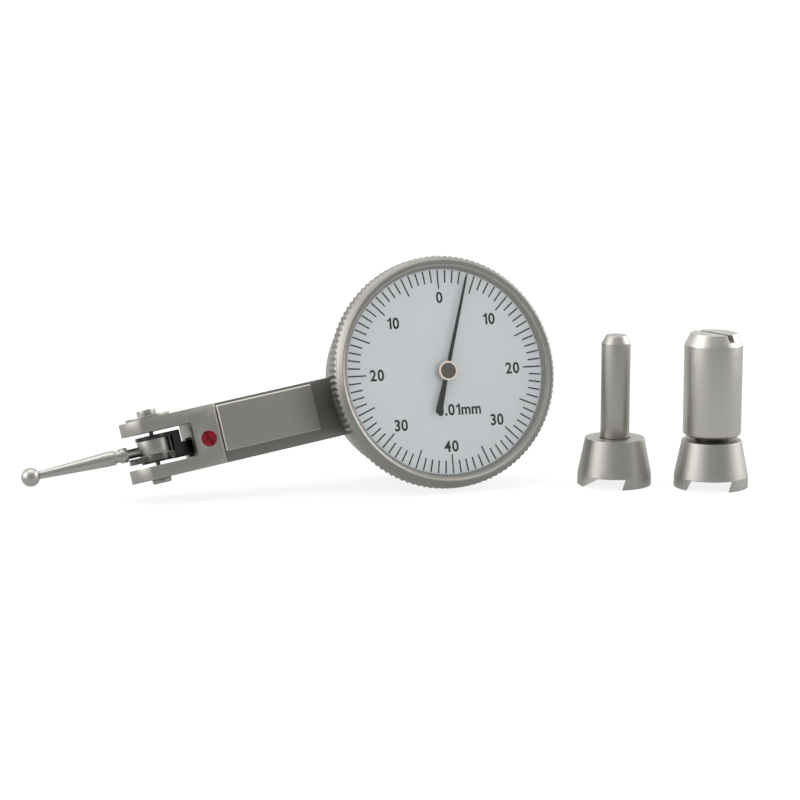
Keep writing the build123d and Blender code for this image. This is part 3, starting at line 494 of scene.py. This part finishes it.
def fine_copy(node, name, edge, smooth_angle):
    """A copy of a node with its corners merged, its sharp edges broken and its curves smooth."""
    source = frame["nodes"][node]
    piece = bpy.data.objects.new(name, source.data.copy())
    bpy.context.scene.collection.objects.link(piece)
    work_on(piece)
    bpy.ops.mesh.customdata_custom_splitnormals_clear()
    bpy.ops.object.mode_set(mode="EDIT")
    bpy.ops.mesh.select_all(action="SELECT")
    bpy.ops.mesh.remove_doubles(threshold=MERGE_DISTANCE)
    bpy.ops.mesh.dissolve_limited(angle_limit=FLAT_ANGLE)
    bpy.ops.object.mode_set(mode="OBJECT")
    if edge:
        apply_modifier(
            piece, "BEVEL", "edges", width=edge, segments=2, limit_method="ANGLE",
            angle_limit=math.radians(smooth_angle),
        )
    work_on(piece)
    bpy.ops.object.shade_smooth_by_angle(angle=math.radians(smooth_angle))
    return piece


# Places in the arm's frame. The lever's lower plate lies below the lever's upper face and left of
# its rear wall. The relief groove across the arm has its middle along the arm and the reach of
# its edges. The milled shelf behind the dovetail has its depth behind the dial's face, and how
# far from that depth a face may lie.
LEVER_PLATE_TOP = -1.98 * MM
LEVER_PLATE_END = -38.1 * MM
RELIEF_MIDDLE = -31.765 * MM
RELIEF_REACH = 0.23 * MM
SHELF_DEPTH = 4.70 * MM
SHELF_PLAY = 0.05 * MM

# How much of a face's normal lies along a way when the face looks that way, in part or fully.
FACING_PART = 0.5
FACING_FULL = 0.9


def on_lever_plate(middle, normal):
    """A face of the lever's lower plate."""
    return middle.y < LEVER_PLATE_TOP and middle.x < LEVER_PLATE_END


def on_relief_wall(middle, normal):
    """A wall of the relief groove across the arm."""
    return abs(normal.x) > FACING_PART and abs(middle.x - RELIEF_MIDDLE) < RELIEF_REACH


def on_shelf(middle, normal):
    """The milled shelf behind the dovetail."""
    return normal.z > FACING_FULL and abs(middle.z + SHELF_DEPTH) < SHELF_PLAY


def refinish(node, material, chosen):
    """Another finish for the faces that are chosen by their middle and normal in the arm's frame."""
    mesh = bpy.data.objects[FINE_PIECES[node][0]].data
    mesh.materials.append(bpy.data.materials[material])
    to_arm = ARM_FRAME.inverted()
    for face in mesh.polygons:
        if chosen(to_arm @ face.center, to_arm.to_3x3() @ face.normal):
            face.material_index = len(mesh.materials) - 1


class INDICATOR_OT_finish_nodes(bpy.types.Operator):
    """Give every carried-over node its finish"""

    bl_idname = "indicator.finish_nodes"
    bl_label = "Finish the nodes"

    def execute(self, context):
        finishes = make_finishes(context.scene.indicator_colours)
        for node, finish in NODE_FINISHES.items():
            mesh = frame["nodes"][node].data
            mesh.materials.clear()
            mesh.materials.append(finishes[finish])
        return {"FINISHED"}


class INDICATOR_OT_fine_pieces(bpy.types.Operator):
    """Put finely edged pieces in the place of the visible nodes"""

    bl_idname = "indicator.fine_pieces"
    bl_label = "Fine pieces"

    def execute(self, context):
        for node, (name, edge, smooth_angle) in FINE_PIECES.items():
            piece = fine_copy(node, name, edge, smooth_angle)
            material = frame["nodes"][node].data.materials[0]
            give(piece, material, frame["nodes"][node]["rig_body"])
            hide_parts(node)
        refinish("lever", "lever_plate_grey", on_lever_plate)
        # The relief groove's walls get painted light.
        refinish("body_frame", "fresh_cut", on_relief_wall)
        # The recessed shelf behind the dovetail gets painted shade.
        refinish("body_frame", "milled_shelf", on_shelf)
        return {"FINISHED"}


def join(pieces, name):
    """Several pieces as one."""
    deselect()
    for piece in pieces:
        piece.select_set(True)
    bpy.context.view_layer.objects.active = pieces[0]
    if len(pieces) > 1:
        bpy.ops.object.join()
    pieces[0].name = name
    return pieces[0]


BUSH_SIDES = 64


class INDICATOR_OT_dial_bush(bpy.types.Operator):
    """Close the dial's middle with a thin bush"""

    bl_idname = "indicator.dial_bush"
    bl_label = "Dial bush"

    def execute(self, context):
        sizes = context.scene.indicator_dial
        deselect()
        bpy.ops.mesh.primitive_circle_add(
            vertices=BUSH_SIDES, radius=sizes.bush_radius, fill_type="NGON")
        bush = context.object
        bush.name = "dial_bush"
        bpy.ops.object.mode_set(mode="EDIT")
        bpy.ops.mesh.inset(thickness=sizes.bush_radius - sizes.bush_bore)
        bpy.ops.mesh.delete(type="FACE")
        bpy.ops.object.mode_set(mode="OBJECT")
        apply_modifier(bush, "SOLIDIFY", "sheet", thickness=2 * sizes.ink_height, offset=0)
        place_mesh(bush, DIAL_FRAME)
        give(bush, bpy.data.materials["dial_paint"], "dial")
        return {"FINISHED"}


class INDICATOR_OT_dial_marks(bpy.types.Operator):
    """Print the marks round the dial"""

    bl_idname = "indicator.dial_marks"
    bl_label = "Dial marks"

    def execute(self, context):
        sizes = context.scene.indicator_dial
        deselect()
        bpy.ops.mesh.primitive_cube_add(size=1)
        cube = context.object
        marks = []
        for number in range(sizes.divisions):
            length = sizes.short_mark
            if number % sizes.long_every == 0:
                length = sizes.long_mark
            angle = -2 * math.pi * number / sizes.divisions
            mark = bpy.data.objects.new("mark", cube.data.copy())
            context.scene.collection.objects.link(mark)
            mark.data.transform(
                DIAL_FRAME
                @ Matrix.Rotation(angle, 4, "Z")
                @ Matrix.Translation((0, sizes.mark_radius - length / 2, sizes.ink_height / 2))
                @ Matrix.Diagonal((sizes.mark_width, length, sizes.ink_height, 1))
            )
            marks.append(mark)
        bpy.data.objects.remove(cube)
        give(join(marks, "dial_marks"), bpy.data.materials["ink"], "dial")
        return {"FINISHED"}


# Curved strokes of the type are this many straight ones.
TYPE_STEPS = 6

# The flag of the figure one: its length, its width and how far it starts below the top, as
# shares of the type size, and its slope.
FLAG_LENGTH_SHARE = 0.21
FLAG_WIDTH_SHARE = 0.10
FLAG_DROP_SHARE = 0.09
FLAG_SLOPE = math.radians(38)


def bar(length, width, height, turn, x, y):
    """A flat straight stroke with its middle at x and y."""
    deselect()
    bpy.ops.mesh.primitive_cube_add(size=1)
    stroke = bpy.context.object
    stroke.matrix_basis = (
        Matrix.Translation((x, y, 0))
        @ Matrix.Rotation(turn, 4, "Z")
        @ Matrix.Diagonal((length, width, height, 1))
    )
    place_mesh(stroke, Matrix.Identity(4))
    return stroke


def flagged(figure, sizes):
    """The figure one with a flag at the left of its top."""
    left = min(vertex.co.x for vertex in figure.data.vertices)
    top = max(vertex.co.y for vertex in figure.data.vertices)
    length = FLAG_LENGTH_SHARE * sizes.number_size
    width = FLAG_WIDTH_SHARE * sizes.number_size
    x = left - length / 2 * math.cos(FLAG_SLOPE) + sizes.stroke
    y = top - length / 2 * math.sin(FLAG_SLOPE) - FLAG_DROP_SHARE * sizes.number_size
    return join([figure, bar(length, width, sizes.ink_height, FLAG_SLOPE, x, y)], "one")


def letter(character, sizes):
    """One letter as a mesh with its left end at x = 0, and its width."""
    deselect()
    bpy.ops.object.text_add()
    text = bpy.context.object
    text.data.body = character
    text.data.size = sizes.number_size
    text.data.extrude = sizes.ink_height / 2
    text.data.offset = sizes.stroke
    text.data.resolution_u = TYPE_STEPS
    bpy.ops.object.convert(target="MESH")
    text = bpy.context.object
    text.matrix_basis = Matrix.Diagonal((sizes.letter_width, 1, 1, 1))
    place_mesh(text, Matrix.Identity(4))
    if character == "1":
        text = flagged(text, sizes)
    left = min(vertex.co.x for vertex in text.data.vertices)
    right = max(vertex.co.x for vertex in text.data.vertices)
    place_mesh(text, Matrix.Translation((-left, 0, 0)))
    return text, right - left


def printed(words, name, x, y, sizes):
    """Words printed on the dial, with their middle at x and y of the dial's frame."""
    pieces = []
    reach = 0.0
    for character in words:
        piece, width = letter(character, sizes)
        place_mesh(piece, Matrix.Translation((reach, 0, 0)))
        reach += width + sizes.letter_gap
        pieces.append(piece)
    text = join(pieces, name)
    high = max(vertex.co.y for vertex in text.data.vertices)
    middle = Vector(((reach - sizes.letter_gap) / 2, high / 2, 0))
    place_mesh(text, DIAL_FRAME @ Matrix.Translation(Vector((x, y, sizes.ink_height / 2)) - middle))
    return text


class INDICATOR_OT_dial_numbers(bpy.types.Operator):
    """Print the numbers and the unit on the dial"""

    bl_idname = "indicator.dial_numbers"
    bl_label = "Dial numbers"

    def execute(self, context):
        sizes = context.scene.indicator_dial
        ink = bpy.data.materials["ink"]
        half = sizes.divisions // 2
        for number in range(0, sizes.divisions, sizes.number_every):
            angle = math.pi / 2 - 2 * math.pi * number / sizes.divisions
            value = min(number, 2 * half - number)
            radius = sizes.side_number_radius
            if number % half == 0:
                radius = sizes.number_radius
            x = radius * math.cos(angle)
            y = radius * math.sin(angle)
            text = printed(str(value), f"number_{number:02d}", x, y, sizes)
            give(text, ink, "dial")
        unit = printed("0.01mm", "unit_mark", sizes.unit_x, sizes.unit_y, sizes)
        give(unit, ink, "dial")
        return {"FINISHED"}


# The studio's room: its level, and its soft lit walls. A wall has its direction, as degrees from
# the front (-y) towards the right (+x) and degrees of rise, the angles from there at which it
# is full and has faded out, and its strength.
ROOM_LEVEL = 0.43
ROOM_WALLS = (
    (88, 10, 26, 50, 1.40),
    (-92, 18, 26, 50, 0.90),
    (0, 90, 25, 62, 0.30),
    (180, 20, 50, 90, 0.50),
)

# The floor: its size in metres, its paint, and how bright it is to the camera and to gloss. Up to
# SHADOW_NEAR from the middle only WHITE_SHARE of that brightness hides the object's shadow,
# and from SHADOW_FAR on all of it.
FLOOR_SIZE = 60.0
FLOOR_GREY = 0.85
FLOOR_ROUGHNESS = 0.9
FLOOR_WHITE = 1.05
FLOOR_GLOSS = 0.62
SHADOW_NEAR = 60 * MM
SHADOW_FAR = 250 * MM
WHITE_SHARE = 0.80

# What all lamps look at, and for each lamp where it stands, and its width and height.
LAMP_TARGET = (0, 0, 15 * MM)
LAMP_PLACES = {
    "key": ((-0.65, 0.0, 0.30), (0.4, 0.5)),
    "fill": ((0.65, -0.05, 0.28), (0.4, 0.5)),
    "top": ((0, 0.05, 0.8), (0.8, 0.5)),
}

# The camera's sensor in millimetres, and how near the camera still sees.
SENSOR_WIDTH = 36.0
CLIP_START = 10 * MM


def area_lamp(name, place, size, power):
    """A soft box that looks at the object."""
    lamp = bpy.data.lights.new(name, "AREA")
    lamp.shape = "RECTANGLE"
    lamp.size, lamp.size_y = size
    lamp.energy = power
    holder = bpy.data.objects.new(name, lamp)
    bpy.context.scene.collection.objects.link(holder)
    way = Vector(LAMP_TARGET) - Vector(place)
    holder.matrix_world = Matrix.Translation(place) @ way.to_track_quat("-Z", "Y").to_matrix().to_4x4()


def seen_directly(tree, path):
    """A node that is 1 for what the camera sees, also through the crystal."""
    direct = add_node(tree, "ShaderNodeMath", operation="MAXIMUM")
    tree.links.new(path.outputs["Is Camera Ray"], direct.inputs[0])
    tree.links.new(path.outputs["Is Transmission Ray"], direct.inputs[1])
    return direct


def lit_wall(tree, place, turn, rise, inner, outer, strength):
    """The light of one wall of the room in each direction."""
    flat = math.cos(math.radians(rise))
    facing = add_node(tree, "ShaderNodeVectorMath", operation="DOT_PRODUCT")
    facing.inputs[1].default_value = (
        flat * math.sin(math.radians(turn)),
        -flat * math.cos(math.radians(turn)),
        math.sin(math.radians(rise)),
    )
    tree.links.new(place.outputs["Generated"], facing.inputs[0])
    wall = add_node(tree, "ShaderNodeMapRange", interpolation_type="SMOOTHSTEP")
    set_values(wall, {
        "From Min": math.cos(math.radians(outer)),
        "From Max": math.cos(math.radians(inner)),
        "To Max": strength,
    })
    tree.links.new(facing.outputs["Value"], wall.inputs["Value"])
    return wall


def studio_world():
    """White where the camera sees it, and a grey room with soft lit walls for light and gloss."""
    world = bpy.data.worlds.new("studio")
    bpy.context.scene.world = world
    world.use_nodes = True
    tree = world.node_tree
    tree.nodes.clear()
    path = add_node(tree, "ShaderNodeLightPath")
    place = add_node(tree, "ShaderNodeTexCoord")
    level = add_node(tree, "ShaderNodeValue")
    level.outputs[0].default_value = ROOM_LEVEL
    light = level.outputs[0]
    for wall_values in ROOM_WALLS:
        wall = lit_wall(tree, place, *wall_values)
        total = add_node(tree, "ShaderNodeMath", operation="ADD")
        tree.links.new(light, total.inputs[0])
        tree.links.new(wall.outputs["Result"], total.inputs[1])
        light = total.outputs[0]
    room = add_node(tree, "ShaderNodeBackground", Color=(1, 1, 1, 1))
    tree.links.new(light, room.inputs["Strength"])
    white = add_node(tree, "ShaderNodeBackground", Color=(1, 1, 1, 1), Strength=1.0)
    mix = add_node(tree, "ShaderNodeMixShader")
    tree.links.new(seen_directly(tree, path).outputs[0], mix.inputs[0])
    tree.links.new(room.outputs[0], mix.inputs[1])
    tree.links.new(white.outputs[0], mix.inputs[2])
    output = add_node(tree, "ShaderNodeOutputWorld")
    tree.links.new(mix.outputs[0], output.inputs["Surface"])


def floor_material():
    """Pale floor that shows white, with a soft trace of the object's shadow near the object."""
    material, tree, shader = new_material("studio_floor")
    set_values(shader, {
        "Base Color": (FLOOR_GREY, FLOOR_GREY, FLOOR_GREY, 1),
        "Roughness": FLOOR_ROUGHNESS,
    })
    path = add_node(tree, "ShaderNodeLightPath")
    direct = seen_directly(tree, path)
    strength = add_node(tree, "ShaderNodeMapRange")
    set_values(strength, {"To Min": FLOOR_GLOSS, "To Max": FLOOR_WHITE})
    tree.links.new(direct.outputs[0], strength.inputs["Value"])
    glow = add_node(tree, "ShaderNodeEmission", Color=(1, 1, 1, 1))
    tree.links.new(strength.outputs["Result"], glow.inputs["Strength"])
    place = add_node(tree, "ShaderNodeTexCoord")
    distance = add_node(tree, "ShaderNodeVectorMath", operation="LENGTH")
    tree.links.new(place.outputs["Object"], distance.inputs[0])
    share = add_node(tree, "ShaderNodeMapRange")
    set_values(share, {"From Min": SHADOW_NEAR, "From Max": SHADOW_FAR, "To Min": WHITE_SHARE})
    tree.links.new(distance.outputs["Value"], share.inputs["Value"])
    shown = add_node(tree, "ShaderNodeMath", operation="MAXIMUM")
    tree.links.new(direct.outputs[0], shown.inputs[0])
    tree.links.new(path.outputs["Is Glossy Ray"], shown.inputs[1])
    seen = add_node(tree, "ShaderNodeMath", operation="MULTIPLY")
    tree.links.new(shown.outputs[0], seen.inputs[0])
    tree.links.new(share.outputs["Result"], seen.inputs[1])
    mix = add_node(tree, "ShaderNodeMixShader")
    tree.links.new(seen.outputs[0], mix.inputs[0])
    tree.links.new(shader.outputs[0], mix.inputs[1])
    tree.links.new(glow.outputs[0], mix.inputs[2])
    tree.links.new(mix.outputs[0], tree.nodes["Material Output"].inputs["Surface"])
    return material


class INDICATOR_OT_stage(bpy.types.Operator):
    """Set up the floor, the light and the camera"""

    bl_idname = "indicator.stage"
    bl_label = "Stage"

    def execute(self, context):
        scene = context.scene
        sizes = scene.indicator_stage
        deselect()
        bpy.ops.mesh.primitive_plane_add(size=FLOOR_SIZE)
        floor = context.object
        floor.name = "floor"
        floor.data.materials.append(floor_material())
        for name, (place, size) in LAMP_PLACES.items():
            area_lamp(name, place, size, getattr(sizes, name + "_power"))
        studio_world()
        camera = bpy.data.cameras.new("camera")
        camera.sensor_width = SENSOR_WIDTH
        camera.lens = sizes.lens
        camera.clip_start = CLIP_START
        holder = bpy.data.objects.new("camera", camera)
        scene.collection.objects.link(holder)
        look = Vector(sizes.camera_look).to_track_quat("-Z", "Y").to_matrix().to_4x4()
        holder.matrix_world = Matrix.Translation(FRONT_CENTRE + Vector(sizes.camera_offset)) @ look
        scene.camera = holder
        scene.view_settings.view_transform = "Standard"
        return {"FINISHED"}


OPERATORS = (
    INDICATOR_OT_stage,
    INDICATOR_OT_finish_nodes,
    INDICATOR_OT_fine_pieces,
    INDICATOR_OT_dial_bush,
    INDICATOR_OT_dial_marks,
    INDICATOR_OT_dial_numbers,
)

GROUPS = {
    "indicator_dial": DialSizes,
    "indicator_colours": FinishColours,
    "indicator_stage": StageSizes,
}


class INDICATOR_PT_panel(bpy.types.Panel):
    """The settings, and the steps that dress the indicator"""

    bl_label = "Indicator"
    bl_idname = "INDICATOR_PT_panel"
    bl_space_type = "VIEW_3D"
    bl_region_type = "UI"
    bl_category = "Indicator"

    def draw(self, context):
        for name, group in GROUPS.items():
            box = self.layout.box()
            for setting in group.__annotations__:
                box.prop(getattr(context.scene, name), setting)
        for operator in OPERATORS:
            self.layout.operator(operator.bl_idname)


def register():
    """Add the property groups, the operators and the panel to Blender."""
    for name, group in GROUPS.items():
        bpy.utils.register_class(group)
        setattr(bpy.types.Scene, name, bpy.props.PointerProperty(type=group))
    for operator in OPERATORS:
        bpy.utils.register_class(operator)
    bpy.utils.register_class(INDICATOR_PT_panel)


def unregister():
    """Take them away again."""
    bpy.utils.unregister_class(INDICATOR_PT_panel)
    for operator in reversed(OPERATORS):
        bpy.utils.unregister_class(operator)
    for name, group in GROUPS.items():
        delattr(bpy.types.Scene, name)
        bpy.utils.unregister_class(group)


def main():
    """Dress the indicator."""
    register()
    bpy.ops.indicator.stage()
    bpy.ops.indicator.finish_nodes()
    bpy.ops.indicator.fine_pieces()
    bpy.ops.indicator.dial_bush()
    bpy.ops.indicator.dial_marks()
    bpy.ops.indicator.dial_numbers()


if __name__ == "__main__":
    main()
